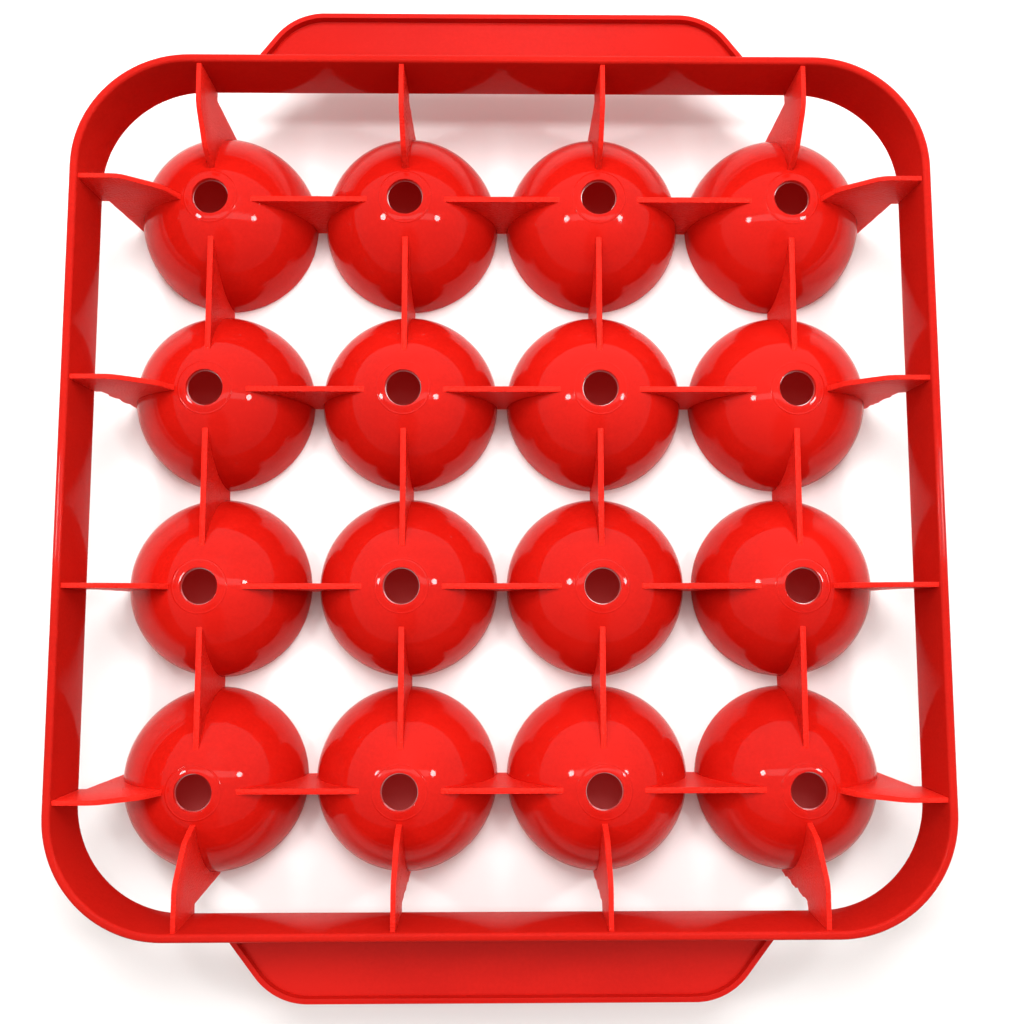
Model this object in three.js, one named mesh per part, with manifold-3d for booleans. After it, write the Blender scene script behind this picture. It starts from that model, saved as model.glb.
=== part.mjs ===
// A moulded carrying tray: a grid of hemispherical cups with drain holes, hung by thin ribs inside a
// rounded square frame, with a flange handle on two opposite sides.
// Millimetres, +Z up. The origin is on the floor under the middle of the tray, and the tray stands on
// its frame with the cup mouths up. X runs across the handles and Y runs from handle to handle.

import * as THREE from 'three';
import { mergeVertices } from 'three/addons/utils/BufferGeometryUtils.js';
import Module from 'manifold-3d';

const wasm = await Module();
wasm.setup();

// ---- Driving dimensions ----

// Cups
const columns = 4;
const rows = 4;
const cupInnerRadius = 29.3;
const cupWall = 1.6;
const cupGap = 3.2; // between the mouths of neighbouring cups
const drainHoleRadius = 5.8;
const cupLift = 15.9; // from the floor to the lowest point of a cup

// Frame
const frameHeight = 19.5;
const frameWall = 2.6;
const frameCornerRadius = 36.8; // outside
const sideGap = 6.3; // from the outer cups to the left and right walls
const endGap = 6.8; // from the outer cups to the front and back walls

// Handles
const handleReach = 22.5; // from the frame to the tip
const handleTipLength = 139.8; // where the tip line would meet the slanted sides
const handleSideRun = 17.8; // how far each slanted side runs out along the frame
const handleCornerRadius = 21;
const handleThickness = 2.5;
const lipWidth = 1.6;
const lipDepth = 2.5; // below the underside of the handle

// Ribs
const ribFootThickness = 1.5; // at the floor, from where the draft widens it
const ribMouthThickness = 2.5; // at the height of the cup mouths
const cupRibRise = 2.9; // from the lowest point of a cup to the lower edge of a rib between cups
const edgeRibFootGap = 1.2; // from the floor to the lower edge of an edge rib
const edgeRibToeMargin = 4.2; // from the rim of the drain hole to the toe of an edge rib
const edgeRibShinRun = 3.4; // how far the steep end above the toe runs outwards
const edgeRibSlope = THREE.MathUtils.degToRad(38.5);
const edgeRibKneeInset = 6.4; // from the mouth's radius in to the end of the flat lower edge
const edgeRibKneeRadius = 8;
const edgeRibShinRadius = 7;
const edgeRibMouthMargin = 1.4; // past the mouth's outer radius, at the top of the rib
const edgeRibShoulderMargin = 3.6; // past the mouth's outer radius, level with the frame's top

// Clearance left between moulded features that are modelled as separate solids
const seamGap = 0.3;

// ---- Worked out from the driving dimensions ----

const cupOuterRadius = cupInnerRadius + cupWall;
const cupPitch = 2 * cupOuterRadius + cupGap;
const mouthHeight = cupLift + cupOuterRadius;
const halfSpanX = ((columns - 1) / 2) * cupPitch;
const halfSpanY = ((rows - 1) / 2) * cupPitch;
const innerHalfX = halfSpanX + cupOuterRadius + sideGap;
const innerHalfY = halfSpanY + cupOuterRadius + endGap;
const outerHalfX = innerHalfX + frameWall;
const outerHalfY = innerHalfY + frameWall;
const innerCornerRadius = frameCornerRadius - frameWall;

const cupSegments = 20;
const cupArcSteps = 6;
const cornerSteps = 8;
const ribArcSteps = 6;

// ---- Materials ----

function redPlastic(color, roughness) {
  return new THREE.MeshStandardMaterial({ color, roughness, metalness: 0 });
}

const cupColor = 0xe01a17;
const frameColor = 0xd81d19;
const handleColor = 0xe2231d;
const ribColor = 0xe22a22;

// ---- Helpers ----

const tray = new THREE.Group();

function addPart(name, geometry, material, x, y, turn) {
  const mesh = new THREE.Mesh(geometry, material);
  mesh.name = name;
  mesh.position.set(x, y, 0);
  mesh.rotation.z = turn;
  tray.add(mesh);
}

function toManifold(geometry) {
  const bare = geometry.clone();
  bare.deleteAttribute('normal');
  bare.deleteAttribute('uv');
  const merged = mergeVertices(bare, 1e-4);
  return new wasm.Manifold(
    new wasm.Mesh({
      numProp: 3,
      vertProperties: new Float32Array(merged.attributes.position.array),
      triVerts: new Uint32Array(merged.index.array),
    }),
  );
}

function toGeometry(solid) {
  const mesh = solid.getMesh();
  const geometry = new THREE.BufferGeometry();
  geometry.setAttribute('position', new THREE.BufferAttribute(mesh.vertProperties, 3));
  geometry.setIndex(new THREE.BufferAttribute(mesh.triVerts, 1));
  geometry.computeVertexNormals();
  return geometry;
}

// Height of a cup's outer surface at a distance from the cup's axis
function cupSurfaceHeight(distance, clearance) {
  const radius = cupOuterRadius + clearance;
  return mouthHeight - Math.sqrt(radius ** 2 - distance ** 2);
}

// Distance from a cup's axis at which its outer surface reaches a height
function cupSurfaceDistance(height, clearance) {
  const radius = cupOuterRadius + clearance;
  return Math.sqrt(radius ** 2 - (mouthHeight - height) ** 2);
}

function ribThickness(height) {
  return THREE.MathUtils.lerp(ribFootThickness, ribMouthThickness, height / mouthHeight);
}

// How far the inner face of a wall stands from the middle of the tray, at a distance along the wall,
// which bends away where the corner begins
function innerWallReach(along, halfAlong, halfAcross) {
  const past = Math.max(0, along - (halfAlong - innerCornerRadius));
  return halfAcross - innerCornerRadius + Math.sqrt(innerCornerRadius ** 2 - past ** 2);
}

// How far the outer face of the front and back walls stands from the middle of the tray
function outerWallReach(along) {
  const past = Math.max(0, along - (outerHalfX - frameCornerRadius));
  return outerHalfY - frameCornerRadius + Math.sqrt(frameCornerRadius ** 2 - past ** 2);
}

// ---- Frame ----

function traceRoundedRectangle(path, halfX, halfY, radius) {
  const x = halfX - radius;
  const y = halfY - radius;
  path.absarc(x, y, radius, 0, Math.PI / 2, false);
  path.absarc(-x, y, radius, Math.PI / 2, Math.PI, false);
  path.absarc(-x, -y, radius, Math.PI, 1.5 * Math.PI, false);
  path.absarc(x, -y, radius, 1.5 * Math.PI, 2 * Math.PI, false);
  path.closePath();
  return path;
}

function frameGeometry() {
  const wall = traceRoundedRectangle(new THREE.Shape(), outerHalfX, outerHalfY, frameCornerRadius);
  wall.holes.push(traceRoundedRectangle(new THREE.Path(), innerHalfX, innerHalfY, innerCornerRadius));
  return new THREE.ExtrudeGeometry(wall, {
    depth: frameHeight,
    bevelEnabled: false,
    curveSegments: cornerSteps,
  });
}

// ---- Cups ----

// A hemispherical shell, closed around the drain hole, with a flat rim at the mouth
function cupGeometry() {
  const profile = [];
  const outerStart = Math.asin(drainHoleRadius / cupOuterRadius);
  const innerStart = Math.asin(drainHoleRadius / cupInnerRadius);
  for (let step = 0; step <= cupArcSteps; step += 1) {
    const angle = THREE.MathUtils.lerp(outerStart, Math.PI / 2, step / cupArcSteps);
    const height = mouthHeight - cupOuterRadius * Math.cos(angle);
    profile.push(new THREE.Vector2(cupOuterRadius * Math.sin(angle), height));
  }
  for (let step = cupArcSteps; step >= 0; step -= 1) {
    const angle = THREE.MathUtils.lerp(innerStart, Math.PI / 2, step / cupArcSteps);
    const height = mouthHeight - cupInnerRadius * Math.cos(angle);
    profile.push(new THREE.Vector2(cupInnerRadius * Math.sin(angle), height));
  }
  profile.push(profile[0].clone());
  const geometry = new THREE.LatheGeometry(profile, cupSegments);
  geometry.rotateX(Math.PI / 2);
  return geometry;
}

// ---- Ribs ----

// A rib's outline has distance along X and height along Y. The rib stands on the XZ plane, and its
// thickness follows the draft.
function ribGeometry(outline) {
  const geometry = new THREE.ExtrudeGeometry(outline, {
    depth: 1,
    bevelEnabled: false,
    curveSegments: ribArcSteps,
  });
  geometry.translate(0, 0, -0.5);
  geometry.rotateX(Math.PI / 2);
  const position = geometry.attributes.position;
  for (let index = 0; index < position.count; index += 1) {
    position.setY(index, position.getY(index) * ribThickness(position.getZ(index)));
  }
  geometry.computeVertexNormals();
  return geometry;
}

// From one cup to the next, with both ends cut to the round of the cups
function cupRibGeometry() {
  const radius = cupOuterRadius + seamGap;
  const lowerEdge = cupLift + cupRibRise;
  const start = cupSurfaceDistance(lowerEdge, seamGap);
  const lowAngle = Math.atan2(lowerEdge - mouthHeight, start);
  const outline = new THREE.Shape();
  outline.moveTo(start, lowerEdge);
  outline.lineTo(cupPitch - start, lowerEdge);
  outline.absarc(cupPitch, mouthHeight, radius, Math.PI - lowAngle, Math.PI, true);
  outline.lineTo(radius, mouthHeight);
  outline.absarc(0, mouthHeight, radius, 0, lowAngle, true);
  return ribGeometry(outline);
}

// Rounds the corner of an outline with an arc that touches both of its sides
function roundCorner(outline, before, corner, after, radius) {
  const inward = before.clone().sub(corner).normalize();
  const onward = after.clone().sub(corner).normalize();
  const halfAngle = Math.acos(inward.dot(onward)) / 2;
  const setback = radius / Math.tan(halfAngle);
  const first = corner.clone().addScaledVector(inward, setback);
  const last = corner.clone().addScaledVector(onward, setback);
  outline.lineTo(first.x, first.y);
  outline.quadraticCurveTo(corner.x, corner.y, last.x, last.y);
}

// From an outer cup to the frame. The lower edge runs level from the frame, then climbs and steepens
// up to its toe beside the drain hole. The upper edge drops past the mouth to the frame's top.
function edgeRibGeometry(wallDistance) {
  const radius = cupOuterRadius + seamGap;
  const end = wallDistance - seamGap;
  const toeDistance = drainHoleRadius + edgeRibToeMargin;
  const toe = new THREE.Vector2(toeDistance, cupSurfaceHeight(toeDistance, seamGap));
  const kneeDistance = cupOuterRadius - edgeRibKneeInset;
  const knee = new THREE.Vector2(kneeDistance, edgeRibFootGap);
  const shinDistance = toeDistance + edgeRibShinRun;
  const climb = (kneeDistance - shinDistance) * Math.tan(edgeRibSlope);
  const shin = new THREE.Vector2(shinDistance, edgeRibFootGap + climb);
  const foot = new THREE.Vector2(end, edgeRibFootGap);
  const outline = new THREE.Shape();
  outline.moveTo(end, frameHeight);
  outline.lineTo(cupOuterRadius + edgeRibShoulderMargin, frameHeight);
  outline.lineTo(cupOuterRadius + edgeRibMouthMargin, mouthHeight);
  outline.lineTo(radius, mouthHeight);
  outline.absarc(0, mouthHeight, radius, 0, Math.atan2(toe.y - mouthHeight, toe.x), true);
  roundCorner(outline, toe, shin, knee, edgeRibShinRadius);
  roundCorner(outline, shin, knee, foot, edgeRibKneeRadius);
  outline.lineTo(end, edgeRibFootGap);
  return ribGeometry(outline);
}

// ---- Handles ----

// The outline of a handle on the back wall, drawn in by an inset on its free sides. The near side
// follows the wall, or runs on through it by an overrun.
function handleOutline(inset, overrun) {
  const slant = Math.atan2(handleReach, handleSideRun);
  const tipReach = outerHalfY + seamGap + handleReach - inset;
  const cornerX = handleTipLength / 2 - inset / Math.sin(slant) + inset / Math.tan(slant);
  const baseX = handleTipLength / 2 + handleSideRun - inset / Math.sin(slant);
  const cornerRadius = handleCornerRadius - inset;
  const arcX = cornerX - cornerRadius * Math.tan(slant / 2);
  const arcY = tipReach - cornerRadius;
  const outline = new THREE.Shape();
  const sideSteps = 12;
  for (let step = 0; step <= sideSteps; step += 1) {
    const x = THREE.MathUtils.lerp(-baseX, baseX, step / sideSteps);
    const y = outerWallReach(Math.abs(x)) + seamGap - overrun;
    if (step === 0) {
      outline.moveTo(x, y);
    } else {
      outline.lineTo(x, y);
    }
  }
  outline.absarc(arcX, arcY, cornerRadius, Math.PI / 2 - slant, Math.PI / 2, false);
  outline.absarc(-arcX, arcY, cornerRadius, Math.PI / 2, Math.PI / 2 + slant, false);
  outline.closePath();
  return outline;
}

function handleGeometry() {
  const underside = frameHeight - handleThickness;
  const block = new THREE.ExtrudeGeometry(handleOutline(0, 0), {
    depth: handleThickness + lipDepth,
    bevelEnabled: false,
    curveSegments: cornerSteps,
  });
  block.translate(0, 0, underside - lipDepth);
  const pocket = new THREE.ExtrudeGeometry(handleOutline(lipWidth, lipWidth), {
    depth: 2 * lipDepth,
    bevelEnabled: false,
    curveSegments: cornerSteps,
  });
  pocket.translate(0, 0, underside - 2 * lipDepth);
  return toGeometry(toManifold(block).subtract(toManifold(pocket)));
}

// ---- Assembly ----

const towardsRight = 0;
const towardsBack = Math.PI / 2;
const towardsLeft = Math.PI;
const towardsFront = -Math.PI / 2;

addPart('frame_ring', frameGeometry(), redPlastic(frameColor, 0.28), 0, 0, 0);

const handle = handleGeometry();
addPart('handle_back', handle, redPlastic(handleColor, 0.3), 0, 0, 0);
addPart('handle_front', handle, redPlastic(handleColor, 0.3), 0, 0, Math.PI);

const cup = cupGeometry();
const cupRib = cupRibGeometry();
for (let row = 1; row <= rows; row += 1) {
  for (let column = 1; column <= columns; column += 1) {
    const x = (column - 1) * cupPitch - halfSpanX;
    const y = (row - 1) * cupPitch - halfSpanY;
    const place = `${row}_${column}`;
    addPart(`cup_${place}`, cup, redPlastic(cupColor, 0.18), x, y, 0);
    if (column < columns) {
      addPart(`rib_across_${place}`, cupRib, redPlastic(ribColor, 0.38), x, y, towardsRight);
    }
    if (row < rows) {
      addPart(`rib_along_${place}`, cupRib, redPlastic(ribColor, 0.38), x, y, towardsBack);
    }
  }
}

// A rib that meets a wall beside a corner is as short as its outer side needs
const ribHalfWidth = ribThickness(frameHeight) / 2;

for (let row = 1; row <= rows; row += 1) {
  const y = (row - 1) * cupPitch - halfSpanY;
  const reach = innerWallReach(Math.abs(y) + ribHalfWidth, innerHalfY, innerHalfX);
  const edgeRib = edgeRibGeometry(reach - halfSpanX);
  addPart(`edge_rib_right_${row}`, edgeRib, redPlastic(ribColor, 0.38), halfSpanX, y, towardsRight);
  addPart(`edge_rib_left_${row}`, edgeRib, redPlastic(ribColor, 0.38), -halfSpanX, y, towardsLeft);
}

for (let column = 1; column <= columns; column += 1) {
  const x = (column - 1) * cupPitch - halfSpanX;
  const reach = innerWallReach(Math.abs(x) + ribHalfWidth, innerHalfX, innerHalfY);
  const edgeRib = edgeRibGeometry(reach - halfSpanY);
  addPart(`edge_rib_back_${column}`, edgeRib, redPlastic(ribColor, 0.38), x, halfSpanY, towardsBack);
  addPart(`edge_rib_front_${column}`, edgeRib, redPlastic(ribColor, 0.38), x, -halfSpanY, towardsFront);
}

export default tray;
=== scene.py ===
import math
import random

import bmesh
import bpy
from mathutils import Matrix, Vector


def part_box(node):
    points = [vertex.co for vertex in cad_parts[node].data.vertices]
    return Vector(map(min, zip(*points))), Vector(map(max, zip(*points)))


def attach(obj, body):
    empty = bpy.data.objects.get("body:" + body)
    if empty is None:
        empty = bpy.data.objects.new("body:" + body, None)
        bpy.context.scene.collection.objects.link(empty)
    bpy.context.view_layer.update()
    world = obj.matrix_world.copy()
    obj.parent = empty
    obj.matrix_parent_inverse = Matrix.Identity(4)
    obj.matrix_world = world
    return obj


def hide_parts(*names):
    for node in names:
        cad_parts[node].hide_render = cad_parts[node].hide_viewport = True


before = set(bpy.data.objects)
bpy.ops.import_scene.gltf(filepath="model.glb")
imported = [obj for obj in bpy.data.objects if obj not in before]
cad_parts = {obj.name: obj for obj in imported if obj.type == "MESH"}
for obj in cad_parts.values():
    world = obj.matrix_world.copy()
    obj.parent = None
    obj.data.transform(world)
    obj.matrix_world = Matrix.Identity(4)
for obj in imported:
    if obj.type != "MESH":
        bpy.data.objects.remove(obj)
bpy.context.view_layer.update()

# A moulded red plastic carrying tray: sixteen hemispherical cups with drain holes, hung by thin ribs
# inside a rounded square frame, with a flange handle at the front and at the back. All sizes are in
# metres, and the tray stands upright with the mouths of its cups up.

# ---- Sizes taken from the frame ----

frame_low, frame_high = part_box("frame_ring")
cup_low, cup_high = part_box("cup_1_1")
neighbour_low, neighbour_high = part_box("cup_1_2")
handle_low, handle_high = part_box("handle_back")

CUP_RADIUS = (cup_high.x - cup_low.x) / 2
CUP_PITCH = neighbour_low.x - cup_low.x
MOUTH_HEIGHT = cup_high.z
FRAME_HEIGHT = frame_high.z
FRAME_HALF_X = frame_high.x
FRAME_HALF_Y = frame_high.y
HANDLE_TIP = handle_high.y
LIP_BOTTOM = handle_low.z
HANDLE_BASE = handle_high.x

# ---- Sizes of the moulding's own details ----

MM = 0.001
CUP_WALL = 1.6 * MM
HOLE_RADIUS = 5.8 * MM
CUP_EDGE_ROUND = 0.15 * MM
INSERT_RADIUS = 8.7 * MM
INSERT_LINE = 0.4 * MM
INSERT_RISE = 0.08 * MM

FRAME_WALL = 2.6 * MM
FRAME_CORNER = 36.8 * MM
FRAME_DRAFT = 0.65 * MM
FOOT_ROUND = 0.9 * MM

HANDLE_THICKNESS = 2.5 * MM
HANDLE_TOP = FRAME_HEIGHT - 0.05 * MM
HANDLE_CORNER = 21 * MM
HANDLE_SIDE_RUN = 17.8 * MM
LIP_WIDTH = 1.6 * MM
HANDLE_ROOT = LIP_WIDTH + 0.5 * MM
HANDLE_EDGE_ROUND = 0.75 * MM

RIB_FOOT_THICKNESS = 1.5 * MM
RIB_MOUTH_THICKNESS = 2.5 * MM
RIB_EDGE_ROUND = 0.28 * MM
CUP_RIB_RISE = 2.9 * MM
SINK = 0.8 * MM

EDGE_RIB_FOOT = 1.2 * MM
EDGE_RIB_TOE = HOLE_RADIUS + 4.2 * MM
EDGE_RIB_SHIN_RUN = 3.4 * MM
EDGE_RIB_SLOPE = math.radians(38.5)
EDGE_RIB_KNEE = CUP_RADIUS - 6.4 * MM
EDGE_RIB_KNEE_ROUND = 8 * MM
EDGE_RIB_SHIN_ROUND = 7 * MM
EDGE_RIB_MOUTH = CUP_RADIUS + 1.4 * MM
EDGE_RIB_SHOULDER = CUP_RADIUS + 3.6 * MM

TRIM_WAVE = 9 * MM
TRIM_STEPS = 22
TRIM_FADE_STEPS = 4
ROUGH_TRIM = 0.55 * MM
CLEAN_TRIM = 0.05 * MM

GRID = range(1, 5)


def grid_place(number):
    """Where a row or a column lies, from the middle of the tray."""
    return (number - 2.5) * CUP_PITCH


# ---- Hand tools ----


def pick(piece):
    bpy.ops.object.select_all(action="DESELECT")
    piece.select_set(True)
    bpy.context.view_layer.objects.active = piece


def edit(piece, kind="FACE"):
    pick(piece)
    bpy.ops.object.mode_set(mode="EDIT")
    bpy.ops.mesh.select_mode(type=kind)
    bpy.ops.mesh.select_all(action="DESELECT")


def close_edit():
    bpy.ops.object.mode_set(mode="OBJECT")


def select_faces(piece, wanted):
    sheet = bmesh.from_edit_mesh(piece.data)
    for face in sheet.faces:
        face.select = bool(wanted(face))
    sheet.select_flush_mode()
    bmesh.update_edit_mesh(piece.data)


def select_edges(piece, wanted):
    sheet = bmesh.from_edit_mesh(piece.data)
    for edge in sheet.edges:
        edge.select = bool(wanted(edge))
    sheet.select_flush_mode()
    bmesh.update_edit_mesh(piece.data)


def select_corners(piece, wanted):
    sheet = bmesh.from_edit_mesh(piece.data)
    for corner in sheet.verts:
        corner.select = wanted(corner.co)
    bmesh.update_edit_mesh(piece.data)


def settle(piece, name):
    """Names a new primitive and puts its place and size into its mesh."""
    pick(piece)
    piece.name = name
    piece.data.name = name
    bpy.ops.object.transform_apply(location=True, rotation=True, scale=True)


def apply_modifier(piece, kind, **settings):
    pick(piece)
    modifier = piece.modifiers.new(kind.title(), kind)
    for key, value in settings.items():
        setattr(modifier, key, value)
    bpy.ops.object.modifier_apply(modifier=modifier.name)


def round_edges(piece, width, segments=3, angle=50):
    apply_modifier(
        piece,
        "BEVEL",
        width=width,
        segments=segments,
        limit_method="ANGLE",
        angle_limit=math.radians(angle),
        use_clamp_overlap=True,
    )


def smooth(piece, angle=35):
    pick(piece)
    bpy.ops.object.shade_smooth_by_angle(angle=math.radians(angle))


def trace(name, points):
    """Draws an outline point by point and fills it with one face."""
    bpy.ops.object.select_all(action="DESELECT")
    bpy.ops.mesh.primitive_plane_add(size=MM, location=points[0])
    piece = bpy.context.object
    settle(piece, name)
    edit(piece, "VERT")
    bpy.ops.mesh.select_all(action="SELECT")
    bpy.ops.mesh.merge(type="CENTER")
    for before, after in zip(points, points[1:]):
        bpy.ops.mesh.extrude_vertices_move(TRANSFORM_OT_translate={"value": after - before})
    bpy.ops.mesh.select_all(action="SELECT")
    bpy.ops.mesh.edge_face_add()
    close_edit()
    return piece


def copy_piece(pattern, name, place):
    piece = pattern.copy()
    piece.data = pattern.data.copy()
    piece.name = name
    piece.data.name = name
    piece.data.transform(place)
    bpy.context.scene.collection.objects.link(piece)
    return piece


def hand_over(piece, node, finish):
    """The piece stands for a CAD node and takes its finish."""
    piece.data.materials.clear()
    piece.data.materials.append(finish)
    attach(piece, "root")
    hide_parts(node)


def arc(centre_x, centre_y, radius, start, end, steps):
    """Points of an arc in a plane, from one angle to another."""
    for step in range(steps + 1):
        angle = start + (end - start) * step / steps
        yield centre_x + radius * math.cos(angle), centre_y + radius * math.sin(angle)


# ---- Shader tools ----


class Value:
    """A node's output, usable in Python sums."""

    def __init__(self, tree, socket):
        self.tree = tree
        self.socket = socket

    def maths(self, operation, *inputs):
        node = self.tree.nodes.new("ShaderNodeMath")
        node.operation = operation
        for slot, value in zip(node.inputs, inputs):
            if isinstance(value, Value):
                self.tree.links.new(value.socket, slot)
            else:
                slot.default_value = value
        return Value(self.tree, node.outputs[0])

    def __add__(self, other):
        return self.maths("ADD", self, other)

    __radd__ = __add__

    def __sub__(self, other):
        return self.maths("SUBTRACT", self, other)

    def __rsub__(self, other):
        return self.maths("SUBTRACT", other, self)

    def __mul__(self, other):
        return self.maths("MULTIPLY", self, other)

    __rmul__ = __mul__

    def __truediv__(self, other):
        return self.maths("DIVIDE", self, other)

    def __pow__(self, other):
        return self.maths("POWER", self, other)

    def __lt__(self, other):
        return self.maths("LESS_THAN", self, other)

    def __abs__(self):
        return self.maths("ABSOLUTE", self)

    def fraction(self):
        return self.maths("FRACT", self)

    def clamped(self):
        return self.maths("MINIMUM", self, 1.0)


class Nodes:
    """The nodes of a material or of the world."""

    def __init__(self, owner):
        self.owner = owner
        owner.use_nodes = True
        self.tree = owner.node_tree
        self.tree.nodes.clear()

    def add(self, kind, settings=None, inputs=None, output=0):
        """Any node, made from its type, its settings, and the values or links of its sockets."""
        node = self.tree.nodes.new(kind)
        for key, value in (settings or {}).items():
            setattr(node, key, value)
        for key, value in (inputs or {}).items():
            slot = node.inputs[key]
            if isinstance(value, Value):
                self.tree.links.new(value.socket, slot)
            else:
                slot.default_value = value
        return Value(self.tree, node.outputs[output]) if len(node.outputs) else None

    def axes(self, vector):
        """A vector's three coordinates."""
        return [
            self.add("ShaderNodeSeparateXYZ", inputs={"Vector": vector}, output=axis)
            for axis in range(3)
        ]

    def noise(self, place, scale, detail=2.0, roughness=0.5):
        return self.add(
            "ShaderNodeTexNoise",
            inputs={"Vector": place, "Scale": scale, "Detail": detail, "Roughness": roughness},
        )

    def mix(self, factor, first, second):
        return self.add(
            "ShaderNodeMix", {"data_type": "RGBA"}, {0: factor, 6: first, 7: second}, output=2
        )

    def step(self, value, low, high, low_out=0.0, high_out=1.0):
        """Rises smoothly from one output to the other as the value goes from low to high."""
        return self.add(
            "ShaderNodeMapRange",
            {"interpolation_type": "SMOOTHSTEP"},
            {"Value": value, "From Min": low, "From Max": high, "To Min": low_out, "To Max": high_out},
        )


def rgb(red, green, blue):
    return (red, green, blue, 1.0)


# ---- Materials ----

# The pattern scales are repeats in a metre.
FLOW_SCALE = 16
STREAK_SCALE = 220
RIPPLE_SCALE = 45
RIPPLE_HEIGHT = 0.12 * MM


def from_cup_axis(along):
    """How far a point lies from its own cup's axis along X or Y, in pitches."""
    return (along / CUP_PITCH).fraction() - 0.5


def insert_ring(nodes, place):
    """The faint raised line that the mould's insert leaves around a drain hole."""
    off_x, off_y = (from_cup_axis(along) for along in nodes.axes(place)[:2])
    distance = (off_x * off_x + off_y * off_y) ** 0.5 * CUP_PITCH
    return nodes.step(abs(distance - INSERT_RADIUS), 0, INSERT_LINE, INSERT_RISE, 0)


def red_plastic(
    name, *, bright, deep, dullness, grain_height, grain_scale, specular, ringed=False
):
    """Injection-moulded red plastic. The colour drifts a little where the melt flowed, the gloss is
    broken by handling marks, and the surface keeps the mould's ripple and its own fine grain."""
    material = bpy.data.materials.new(name)
    nodes = Nodes(material)
    place = nodes.add("ShaderNodeTexCoord", output=3)
    flow = nodes.noise(place, FLOW_SCALE, 3)
    streak_place = nodes.add(
        "ShaderNodeMapping", inputs={"Vector": place, "Scale": (0.25, 1.0, 0.6)}
    )
    streaks = nodes.noise(streak_place, STREAK_SCALE, 4, 0.6)
    grain = nodes.noise(place, grain_scale, 2, 0.6)
    ripple = nodes.noise(place, RIPPLE_SCALE, 1)
    drift = flow * 0.5 + streaks * 0.2 + grain * 0.3
    colour = nodes.mix(nodes.step(drift, 0.38, 0.62), deep, bright)
    marks = nodes.step(streaks, 0.58, 0.75)
    roughness = flow * 0.05 + grain * 0.04 + marks * 0.07 + dullness
    height = ripple * RIPPLE_HEIGHT + grain * grain_height
    if ringed:
        height = height + insert_ring(nodes, place)
    normal = nodes.add(
        "ShaderNodeBump", inputs={"Height": height, "Strength": 1.0, "Distance": 1.0}
    )
    surface = nodes.add(
        "ShaderNodeBsdfPrincipled",
        inputs={
            "Base Color": colour,
            "Roughness": roughness,
            "Normal": normal,
            "IOR": 1.49,
            "Specular IOR Level": specular,
        },
    )
    nodes.add("ShaderNodeOutputMaterial", inputs={"Surface": surface})
    return material


cup_red = red_plastic(
    "cup_red",
    bright=rgb(0.52, 0.0082, 0.0044),
    deep=rgb(0.45, 0.0062, 0.0033),
    dullness=0.0,
    grain_height=0.002 * MM,
    grain_scale=900,
    specular=0.17,
    ringed=True,
)
frame_red = red_plastic(
    "frame_red",
    bright=rgb(0.48, 0.0105, 0.0062),
    deep=rgb(0.42, 0.0085, 0.005),
    dullness=0.01,
    grain_height=0.005 * MM,
    grain_scale=900,
    specular=0.07,
)
handle_red = red_plastic(
    "handle_red",
    bright=rgb(0.48, 0.0078, 0.0044),
    deep=rgb(0.43, 0.006, 0.0034),
    dullness=0.05,
    grain_height=0.005 * MM,
    grain_scale=900,
    specular=0.16,
)
# The ribs are the same plastic as the cups, but their base colour is painted brighter. This is painted
# light for the light that shines through the thin ribs and falls on their sides.
rib_red_painted_light = red_plastic(
    "rib_red_painted_light",
    bright=rgb(0.8, 0.019, 0.011),
    deep=rgb(0.68, 0.0145, 0.008),
    dullness=0.24,
    grain_height=0.5 * MM,
    grain_scale=1500,
    specular=0.08,
)


# ---- Cups ----


def make_cup():
    bpy.ops.object.select_all(action="DESELECT")
    bpy.ops.mesh.primitive_uv_sphere_add(
        segments=96, ring_count=64, radius=CUP_RADIUS, location=(0, 0, MOUTH_HEIGHT)
    )
    cup = bpy.context.object
    settle(cup, "cup_pattern")
    hole_rise = math.sqrt(CUP_RADIUS**2 - HOLE_RADIUS**2)
    for cut_height, upwards in ((MOUTH_HEIGHT, 1), (MOUTH_HEIGHT - hole_rise, -1)):
        edit(cup)
        bpy.ops.mesh.select_all(action="SELECT")
        bpy.ops.mesh.bisect(
            plane_co=(0, 0, cut_height), plane_no=(0, 0, upwards), clear_outer=True
        )
        close_edit()
    apply_modifier(cup, "SOLIDIFY", thickness=CUP_WALL, offset=-1, use_even_offset=True)
    edit(cup, "VERT")
    select_corners(cup, lambda place: place.z > MOUTH_HEIGHT - 0.1 * MM)
    bpy.ops.transform.resize(value=(1, 1, 0), center_override=(0, 0, MOUTH_HEIGHT))
    close_edit()
    round_edges(cup, CUP_EDGE_ROUND, segments=3, angle=55)
    smooth(cup)
    return cup


cup_pattern = make_cup()
for row in GRID:
    for column in GRID:
        node = f"cup_{row}_{column}"
        place = Matrix.Translation((grid_place(column), grid_place(row), 0))
        cup = copy_piece(cup_pattern, f"{node}_shell", place)
        hand_over(cup, node, cup_red)
bpy.data.objects.remove(cup_pattern)


# ---- Ribs ----


def thicken_rib(rib):
    """Gives an outline in the XZ plane its thickness, with the draft that widens it upwards."""
    edit(rib)
    bpy.ops.mesh.select_all(action="SELECT")
    bpy.ops.transform.translate(value=(0, -RIB_FOOT_THICKNESS / 2, 0))
    bpy.ops.mesh.extrude_region_move(TRANSFORM_OT_translate={"value": (0, RIB_FOOT_THICKNESS, 0)})
    bpy.ops.mesh.select_all(action="SELECT")
    bpy.ops.mesh.normals_make_consistent(inside=False)
    close_edit()
    heights = [corner[2] for corner in rib.bound_box]
    draft = (RIB_MOUTH_THICKNESS / RIB_FOOT_THICKNESS - 1) / MOUTH_HEIGHT
    apply_modifier(
        rib,
        "SIMPLE_DEFORM",
        deform_method="TAPER",
        deform_axis="Z",
        lock_x=True,
        factor=draft * (max(heights) - min(heights)),
    )


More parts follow.
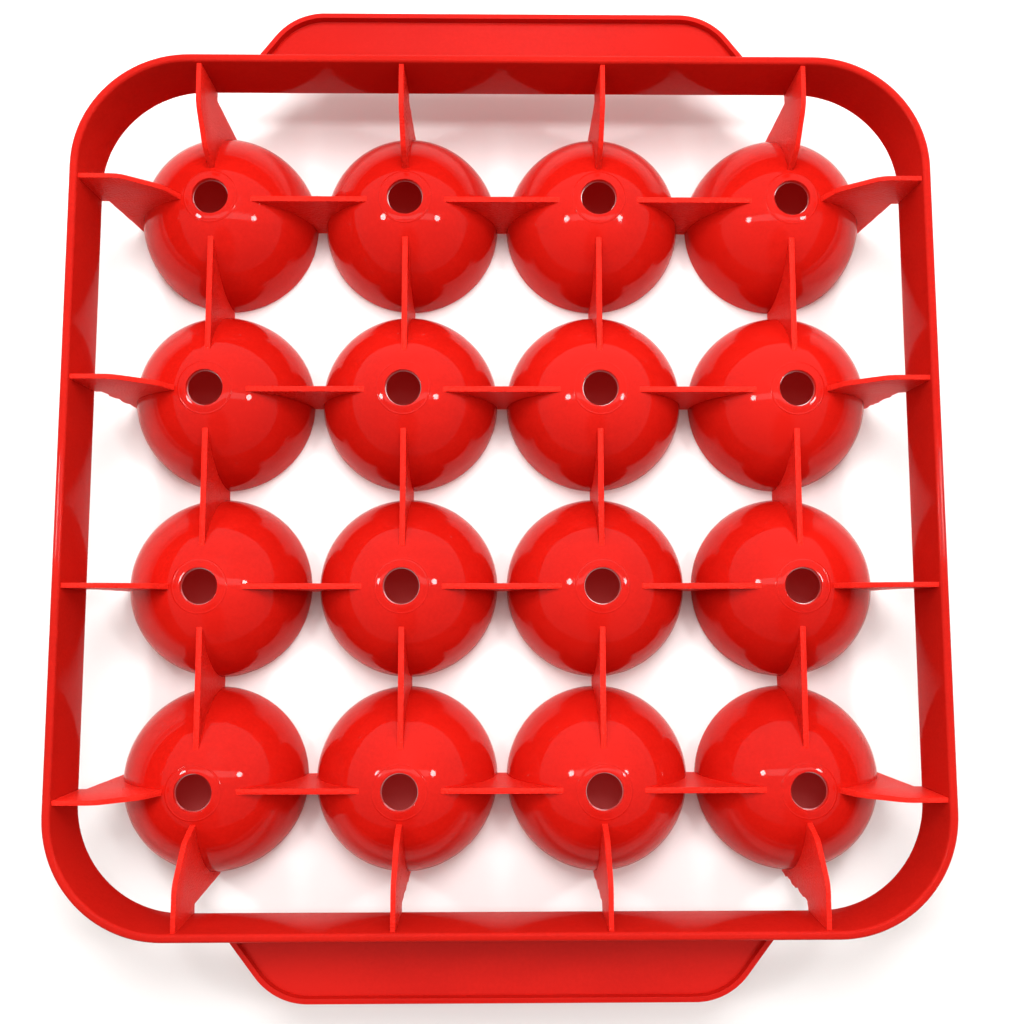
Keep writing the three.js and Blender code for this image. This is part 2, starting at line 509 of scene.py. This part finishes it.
def cup_rib_outline():
    low = MOUTH_HEIGHT - CUP_RADIUS + CUP_RIB_RISE
    radius = CUP_RADIUS - SINK
    start_angle = -math.asin((MOUTH_HEIGHT - low) / radius)
    right = arc(CUP_PITCH, MOUTH_HEIGHT, radius, -math.pi - start_angle, -math.pi, 32)
    left = arc(0, MOUTH_HEIGHT, radius, 0, start_angle, 32)
    return [Vector((x, 0, z)) for x, z in [*right, *left]]


def make_cup_rib():
    rib = trace("cup_rib_pattern", cup_rib_outline())
    thicken_rib(rib)
    round_edges(rib, RIB_EDGE_ROUND, segments=2, angle=60)
    smooth(rib)
    return rib


def rounded_corner(before, corner, after, radius, steps):
    """A corner drawn as a smooth curve that touches both of its sides."""
    inward = (before - corner).normalized()
    onward = (after - corner).normalized()
    setback = radius / math.tan(inward.angle(onward) / 2)
    first = corner + inward * setback
    last = corner + onward * setback
    for step in range(steps + 1):
        share = step / steps
        yield first.lerp(corner, share).lerp(corner.lerp(last, share), share)


def trimmed_edge(start, end, trim, phases, chance):
    """An edge that was trimmed by hand: it wavers about its line, and runs true at both ends."""
    across = Vector((-(end - start).z, 0, (end - start).x)).normalized()
    for step in range(1, TRIM_STEPS):
        share = step / TRIM_STEPS
        fade = min(step, TRIM_STEPS - step, TRIM_FADE_STEPS) / TRIM_FADE_STEPS
        turns = (end - start).length * share / TRIM_WAVE
        long_wave = math.sin(math.tau * (turns + phases[0]))
        short_wave = math.sin(math.tau * (2.3 * turns + phases[1]))
        slip = 0.7 * long_wave + 0.42 * short_wave + chance.gauss(0, 0.25)
        point = start.lerp(end, share) + across * slip * trim * fade
        yield Vector((point.x, 0, min(point.z, MOUTH_HEIGHT)))
    yield end


def edge_rib_outline(wall_distance, trim, seed):
    """From an outer cup to the wall. The upper edge was trimmed by hand."""
    radius = CUP_RADIUS - SINK
    toe = Vector((EDGE_RIB_TOE, 0, MOUTH_HEIGHT - math.sqrt(CUP_RADIUS**2 - EDGE_RIB_TOE**2)))
    shin_x = EDGE_RIB_TOE + EDGE_RIB_SHIN_RUN
    climb = (EDGE_RIB_KNEE - shin_x) * math.tan(EDGE_RIB_SLOPE)
    shin = Vector((shin_x, 0, EDGE_RIB_FOOT + climb))
    knee = Vector((EDGE_RIB_KNEE, 0, EDGE_RIB_FOOT))
    foot = Vector((wall_distance, 0, EDGE_RIB_FOOT))
    shoulder = Vector((EDGE_RIB_SHOULDER, 0, FRAME_HEIGHT))
    mouth = Vector((EDGE_RIB_MOUTH, 0, MOUTH_HEIGHT))
    top = Vector((wall_distance, 0, FRAME_HEIGHT))
    start_angle = math.atan2(toe.z - MOUTH_HEIGHT, toe.x)
    ground = [Vector((x, 0, z)) for x, z in arc(0, MOUTH_HEIGHT, radius, 0, start_angle, 32)]
    chance = random.Random(seed)
    phases = chance.random(), chance.random()
    return [
        top,
        *trimmed_edge(top, shoulder, trim, phases, chance),
        *trimmed_edge(shoulder, mouth, trim, phases, chance),
        *ground,
        toe,
        *rounded_corner(toe, shin, knee, EDGE_RIB_SHIN_ROUND, 8),
        *rounded_corner(shin, knee, foot, EDGE_RIB_KNEE_ROUND, 10),
        foot,
    ]


def make_edge_rib(name, wall_distance, trim, seed):
    rib = trace(name, edge_rib_outline(wall_distance, trim, seed))
    thicken_rib(rib)
    round_edges(rib, RIB_EDGE_ROUND, segments=2, angle=60)
    smooth(rib)
    return rib


cup_rib_pattern = make_cup_rib()
for row in GRID:
    for column in GRID:
        corner = Matrix.Translation((grid_place(column), grid_place(row), 0))
        if column < 4:
            node = f"rib_across_{row}_{column}"
            hand_over(copy_piece(cup_rib_pattern, f"{node}_web", corner), node, rib_red_painted_light)
        if row < 4:
            node = f"rib_along_{row}_{column}"
            turned = corner @ Matrix.Rotation(math.pi / 2, 4, "Z")
            hand_over(copy_piece(cup_rib_pattern, f"{node}_web", turned), node, rib_red_painted_light)
bpy.data.objects.remove(cup_rib_pattern)

roughly_trimmed = {"left_2", "right_2", "left_3", "front_2", "back_2", "back_3", "back_4"}
sides = {
    "right": (0, FRAME_HALF_X, lambda number: (grid_place(4), grid_place(number))),
    "back": (1, FRAME_HALF_Y, lambda number: (grid_place(number), grid_place(4))),
    "left": (2, FRAME_HALF_X, lambda number: (-grid_place(4), grid_place(number))),
    "front": (3, FRAME_HALF_Y, lambda number: (grid_place(number), -grid_place(4))),
}
for side, (quarter_turns, half_size, root_place) in sides.items():
    wall_distance = half_size - FRAME_WALL - grid_place(4) + SINK
    for number in GRID:
        node = f"edge_rib_{side}_{number}"
        trim = ROUGH_TRIM if f"{side}_{number}" in roughly_trimmed else CLEAN_TRIM
        rib = make_edge_rib(f"{node}_web", wall_distance, trim, 10 * quarter_turns + number)
        x, y = root_place(number)
        turn = Matrix.Rotation(quarter_turns * math.pi / 2, 4, "Z")
        rib.data.transform(Matrix.Translation((x, y, 0)) @ turn)
        hand_over(rib, node, rib_red_painted_light)


# ---- Frame ----


def is_inside_wall(point):
    """Whether a point of the ring lies on its inner side."""
    past_x = max(0, abs(point.x) - (FRAME_HALF_X - FRAME_CORNER))
    past_y = max(0, abs(point.y) - (FRAME_HALF_Y - FRAME_CORNER))
    return math.hypot(past_x, past_y) < FRAME_CORNER - FRAME_WALL / 2


def make_frame():
    bpy.ops.object.select_all(action="DESELECT")
    bpy.ops.mesh.primitive_cube_add(
        size=1,
        location=(frame_low + frame_high) / 2,
        scale=frame_high - frame_low,
    )
    ring = bpy.context.object
    settle(ring, "frame_ring_wall")
    edit(ring)
    select_faces(ring, lambda face: abs(face.normal.z) > 0.5)
    bpy.ops.mesh.delete(type="FACE")
    bpy.ops.mesh.select_mode(type="EDGE")
    select_edges(ring, lambda edge: abs(edge.verts[0].co.z - edge.verts[1].co.z) > MM)
    bpy.ops.mesh.bevel(offset=FRAME_CORNER, offset_type="OFFSET", segments=28, affect="EDGES")
    close_edit()
    apply_modifier(ring, "SOLIDIFY", thickness=FRAME_WALL, offset=-1, use_even_offset=True)
    edit(ring, "VERT")
    select_corners(ring, lambda place: place.z > FRAME_HEIGHT / 2 and is_inside_wall(place))
    narrowing = 1 - FRAME_DRAFT / FRAME_HALF_X
    bpy.ops.transform.resize(
        value=(narrowing, narrowing, 1), center_override=(0, 0, 0), orient_type="GLOBAL"
    )
    close_edit()
    round_edges(ring, FOOT_ROUND, segments=4, angle=60)
    smooth(ring)
    return ring


hand_over(make_frame(), "frame_ring", frame_red)


# ---- Handles ----


def wall_reach(along):
    """How far the outside of the back wall stands out, at a distance from its middle."""
    past = max(0, along - (FRAME_HALF_X - FRAME_CORNER))
    return FRAME_HALF_Y - FRAME_CORNER + math.sqrt(FRAME_CORNER**2 - past**2)


def handle_outline():
    """The back handle seen from above. Its root runs a little way into the wall."""
    slant = math.atan2(HANDLE_TIP - FRAME_HALF_Y, HANDLE_SIDE_RUN)
    tip_corner = HANDLE_BASE - HANDLE_SIDE_RUN
    arc_x = tip_corner - HANDLE_CORNER * math.tan(slant / 2)
    arc_y = HANDLE_TIP - HANDLE_CORNER
    points = []
    base_steps = 24
    for step in range(base_steps + 1):
        x = HANDLE_BASE * (2 * step / base_steps - 1)
        points.append((x, wall_reach(abs(x)) - HANDLE_ROOT))
    points.append((HANDLE_BASE, wall_reach(HANDLE_BASE)))
    points.extend(arc(arc_x, arc_y, HANDLE_CORNER, math.pi / 2 - slant, math.pi / 2, 20))
    points.extend(arc(-arc_x, arc_y, HANDLE_CORNER, math.pi / 2, math.pi / 2 + slant, 20))
    points.append((-HANDLE_BASE, wall_reach(HANDLE_BASE)))
    return [Vector((x, y, HANDLE_TOP)) for x, y in points]


def make_handle():
    handle = trace("handle_pattern", handle_outline())
    underside = FRAME_HEIGHT - HANDLE_THICKNESS
    edit(handle)
    bpy.ops.mesh.select_all(action="SELECT")
    bpy.ops.mesh.extrude_region_move(
        TRANSFORM_OT_translate={"value": (0, 0, underside - HANDLE_TOP)}
    )
    bpy.ops.mesh.select_all(action="SELECT")
    bpy.ops.mesh.normals_make_consistent(inside=False)
    select_faces(handle, lambda face: face.normal.z < -0.5)
    bpy.ops.mesh.inset(thickness=LIP_WIDTH, use_even_offset=True)
    plate_area = max(face.calc_area() for face in bmesh.from_edit_mesh(handle.data).faces)
    select_faces(
        handle,
        lambda face: face.normal.z < -0.5
        and abs(face.calc_center_median().z - underside) < 0.1 * MM
        and face.calc_area() < plate_area / 2,
    )
    bpy.ops.mesh.extrude_region_move(
        TRANSFORM_OT_translate={"value": (0, 0, LIP_BOTTOM - underside)}
    )
    close_edit()
    round_edges(handle, HANDLE_EDGE_ROUND, segments=4, angle=55)
    smooth(handle)
    return handle


handle_pattern = make_handle()
for node, turn in (("handle_back", 0), ("handle_front", math.pi)):
    handle = copy_piece(handle_pattern, f"{node}_flange", Matrix.Rotation(turn, 4, "Z"))
    hand_over(handle, node, handle_red)
bpy.data.objects.remove(handle_pattern)


# ---- Stage ----

# The tray is looked at from under its cups, as if it lay with its mouths on a table, and from above
# as it stands on a floor. Each surface shows only on the side that faces the tray.

SHEET_GAP = 0.2 * MM
FAR_START = 0.3
FAR_END = 1.0
TABLE_WHITE = rgb(0.95, 0.95, 0.95)
SEEN_WHITE = rgb(0.82, 0.81, 0.805)
# Where the cups mirror the table it is painted a darker pink. This is painted shade and red bounce
# light, as the table near the cups would show.
MIRRORED_PAINTED_SHADE = rgb(0.7, 0.45, 0.43)
# Inside the cups the table is painted a dim red. This is painted shade and red bounce light for the
# table under each inverted cup.
IN_CUP_PAINTED_SHADE = rgb(0.68, 0.155, 0.15)


def lay_sheet(name, height, turn, nodes):
    bpy.ops.object.select_all(action="DESELECT")
    bpy.ops.mesh.primitive_plane_add(size=8, location=(0, 0, height), rotation=(turn, 0, 0))
    sheet = bpy.context.object
    settle(sheet, name)
    sheet.data.materials.append(nodes.owner)
    return sheet


def mouth_openings(nodes):
    """Two masks, 0 elsewhere: 1 inside the mouths of the cups, where the table is painted a dim red
    shade, and 1 over the mouths of the cups and over the ribs between them.
    """
    place = nodes.add("ShaderNodeTexCoord", output=3)
    x, y, _ = nodes.axes(place)
    off_x, off_y = from_cup_axis(x), from_cup_axis(y)
    from_cup_centre = off_x * off_x + off_y * off_y
    in_cup = from_cup_centre < ((CUP_RADIUS - 2 * CUP_WALL) / CUP_PITCH) ** 2
    on_cup = from_cup_centre < ((CUP_RADIUS + 0.3 * MM) / CUP_PITCH) ** 2
    web = RIB_MOUTH_THICKNESS / 2 / CUP_PITCH * 1.2
    on_web = (abs(off_x) < web) + (abs(off_y) < web)
    reach = 1.5 * CUP_PITCH + CUP_RADIUS + 2 * MM
    in_grid = (abs(x) < reach) * (abs(y) < reach)
    return in_cup * in_grid, (on_cup + on_web).clamped() * in_grid


def far_glow(nodes):
    """Keeps the far parts of a sheet as bright as what lies around the tray."""
    place = nodes.add("ShaderNodeTexCoord", output=3)
    distance = nodes.add("ShaderNodeVectorMath", {"operation": "LENGTH"}, {0: place}, output=1)
    return nodes.step(distance, FAR_START, FAR_END)


def make_table():
    """What the mouths of the cups lie on. It shows from below only. For the tray's own light it is
    open over the mouths, so that the insides of the cups are lit when they are seen from above. For
    mirrored light it is open inside the cups only, so that their rims mirror the table. Inside the
    cups it is painted a dim red, as painted shade and red bounce light. Where the cups mirror it, it
    is painted a darker pink, as painted shade and red bounce near the cups."""
    nodes = Nodes(bpy.data.materials.new("table"))
    in_cup, over_mouths = mouth_openings(nodes)
    seen = nodes.add("ShaderNodeLightPath", output=0)
    mirrored = nodes.add("ShaderNodeLightPath", output=3)
    behind = nodes.add("ShaderNodeNewGeometry", output=6)
    # For mirrored rays the table takes the painted pink shade instead of its white.
    white = nodes.mix(mirrored, nodes.mix(seen, TABLE_WHITE, SEEN_WHITE), MIRRORED_PAINTED_SHADE)
    # Inside the cups the table takes the painted dim red shade.
    colour = nodes.mix(in_cup, white, IN_CUP_PAINTED_SHADE)
    diffuse = nodes.add("ShaderNodeBsdfDiffuse", inputs={"Color": colour})
    glow = nodes.add(
        "ShaderNodeEmission",
        inputs={"Color": rgb(1.0, 1.0, 1.0), "Strength": far_glow(nodes) * seen},
    )
    lit = nodes.add("ShaderNodeAddShader", inputs={0: diffuse, 1: glow})
    clear = nodes.add("ShaderNodeBsdfTransparent")
    open_over = mirrored * in_cup + (1 - mirrored) * over_mouths
    open_to_tray = (behind + (1 - seen) * open_over).clamped()
    mixed = nodes.add("ShaderNodeMixShader", inputs={0: open_to_tray, 1: lit, 2: clear})
    nodes.add("ShaderNodeOutputMaterial", inputs={"Surface": mixed})
    lay_sheet("table_at_mouths", MOUTH_HEIGHT + SHEET_GAP, math.pi, nodes)


def make_floor():
    """What the tray stands on. It shows from above only and takes no light from the tray."""
    nodes = Nodes(bpy.data.materials.new("floor"))
    behind = nodes.add("ShaderNodeNewGeometry", output=6)
    diffuse = nodes.add("ShaderNodeBsdfDiffuse", inputs={"Color": rgb(0.93, 0.93, 0.93)})
    glow = nodes.add(
        "ShaderNodeEmission", inputs={"Color": rgb(1.0, 1.0, 1.0), "Strength": far_glow(nodes)}
    )
    lit = nodes.add("ShaderNodeAddShader", inputs={0: diffuse, 1: glow})
    clear = nodes.add("ShaderNodeBsdfTransparent")
    mixed = nodes.add("ShaderNodeMixShader", inputs={0: behind, 1: lit, 2: clear})
    nodes.add("ShaderNodeOutputMaterial", inputs={"Surface": mixed})
    floor = lay_sheet("floor_at_foot", -SHEET_GAP, 0, nodes)
    floor.visible_diffuse = False
    floor.visible_glossy = False
    floor.visible_transmission = False
    floor.visible_shadow = False


make_table()
make_floor()


CEILING_LIGHT = 0.8
CEILING_FALL = 0.52
FIGURE_ALONG = 0.62
FIGURE_NARROWNESS = 2.2
TABLE_LIGHT = 0.6


def make_world():
    """A pale table above, and below a bright ceiling, dimmer to the back, with the soft dark shape of
    somebody who leans over the tray from its back. Seen past the table and floor it is plain white."""
    world = bpy.data.worlds.new("studio")
    bpy.context.scene.world = world
    nodes = Nodes(world)
    direction = nodes.add("ShaderNodeTexCoord", output=0)
    across, along, up = nodes.axes(direction)
    off_figure = across * across * FIGURE_NARROWNESS + (along - FIGURE_ALONG) ** 2
    figure = nodes.step(off_figure, 0.05, 0.16, 0.35, 1.0)
    ceiling = (CEILING_LIGHT - along * CEILING_FALL) * figure
    horizon = nodes.step(up, -0.14, 0.0, 1.0, 0.35)
    table = nodes.step(up, -0.01, 0.05)
    seen = nodes.add("ShaderNodeLightPath", output=0)
    light = (ceiling * horizon * (1 - table) + table * TABLE_LIGHT) * (1 - seen) + seen
    background = nodes.add(
        "ShaderNodeBackground", inputs={"Color": rgb(1.0, 0.965, 0.93), "Strength": light}
    )
    nodes.add("ShaderNodeOutputWorld", inputs={"Surface": background})


make_world()


def add_lamp(name, place, size, power, size_y=None):
    bpy.ops.object.light_add(type="AREA", location=place)
    lamp = bpy.context.object
    lamp.name = name
    lamp.data.shape = "RECTANGLE" if size_y else "DISK"
    lamp.data.size = size
    if size_y:
        lamp.data.size_y = size_y
    lamp.data.energy = power
    target = Vector((0, 0, MOUTH_HEIGHT / 2))
    lamp.rotation_euler = (target - lamp.location).to_track_quat("-Z", "Y").to_euler()
    return lamp


LAMP_DEPTH = MOUTH_HEIGHT - 0.675
LAMP_LINE = -0.058
BULB_REACH = 0.458

for side, reach in (("left", -BULB_REACH), ("right", BULB_REACH)):
    add_lamp(f"bulb_{side}", (reach, LAMP_LINE, LAMP_DEPTH), 0.1, 1.25)
add_lamp("tube_between", (0, LAMP_LINE, LAMP_DEPTH), 0.75, 0.6, 0.1)
window = add_lamp("window_light", (0, -0.26, -0.53), 0.3, 3.3)
window.visible_glossy = False
add_lamp("softbox_above", (0.35, -0.45, 0.9), 0.7, 2.5)


# ---- Camera ----


CAMERA_PLACE = (-0.000365, 0.039406, MOUTH_HEIGHT - 0.34956)
CAMERA_TILT = 0.09622
CAMERA_SWAY = -0.01118
CAMERA_ROLL = -0.00018


def add_camera():
    """Under the tray, looking up at the cups, nearly square to them."""
    bpy.ops.object.camera_add(location=CAMERA_PLACE)
    camera = bpy.context.object
    camera.name = "camera"
    looking_up = Matrix.Rotation(math.pi, 3, "X")
    tilt = Matrix.Rotation(CAMERA_TILT, 3, "X") @ Matrix.Rotation(CAMERA_SWAY, 3, "Y")
    roll = Matrix.Rotation(CAMERA_ROLL, 3, "Z")
    camera.rotation_euler = (looking_up @ roll @ tilt).to_euler()
    camera.data.lens = 34.77
    camera.data.sensor_width = 36
    camera.data.clip_start = 0.01
    camera.data.clip_end = 50
    bpy.context.scene.camera = camera


add_camera()
bpy.context.scene.view_settings.view_transform = "Standard"
